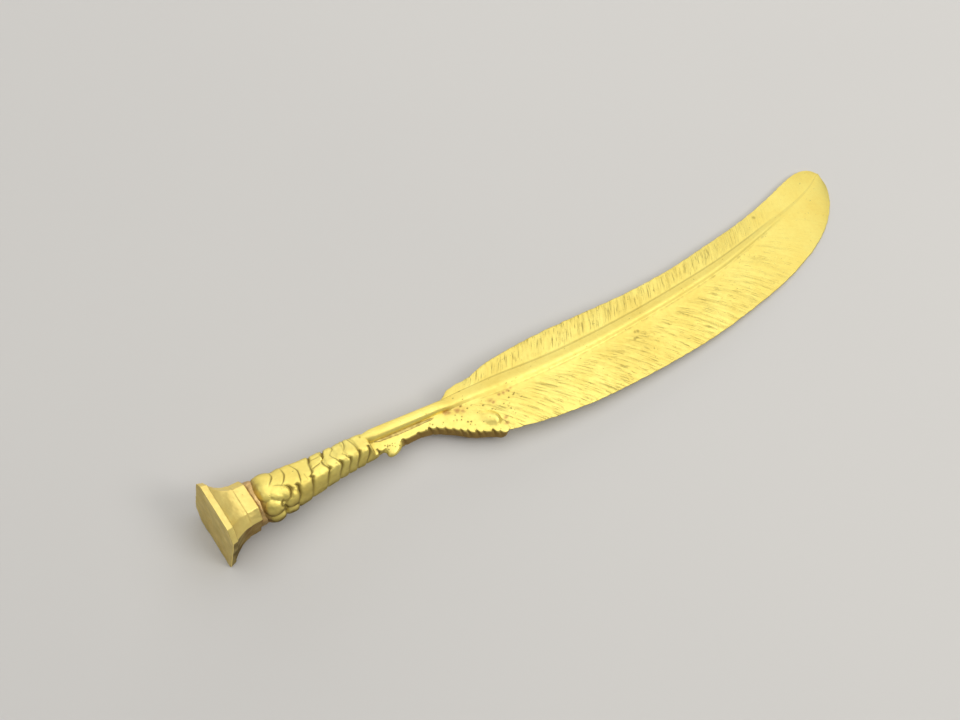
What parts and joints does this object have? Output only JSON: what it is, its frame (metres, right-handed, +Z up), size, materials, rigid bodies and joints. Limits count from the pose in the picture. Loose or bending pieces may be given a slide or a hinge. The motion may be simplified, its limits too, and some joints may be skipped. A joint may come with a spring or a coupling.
{
  "type": "letter opener",
  "caption": "Cast brass letter opener shaped as a curved feather, with a scaled grip and a square blank seal head, lying at rest",
  "frame": {"origin": "on the table, under the middle of the bounding box of the tool as it lies at rest", "axes": "+X from the seal to the tip of the feather, +Z up from the table, +Y towards the inner, concave edge of the feather"},
  "size_m": [0.2096, 0.0338, 0.0157],
  "materials": {
    "feather_brass": "cast and brushed, pale yellow",
    "grip_brass": "cast, with darker cuts between the scales",
    "seal_brass": "filed flat, satin",
    "stud_brass": "drawn rod",
    "pin_brass": "peened",
    "neck_filler": "coppery brazing filler",
    "root_filler": "brown brazing filler with flux stain"
  },
  "bodies": {
    "root": {"feather_blade": "feather_brass", "grip": "grip_brass", "seal_head": "seal_brass", "seal_stud": "stud_brass", "tang_pin": "pin_brass", "neck_solder": "neck_filler", "root_solder": "root_filler"}
  },
  "joints": []
}
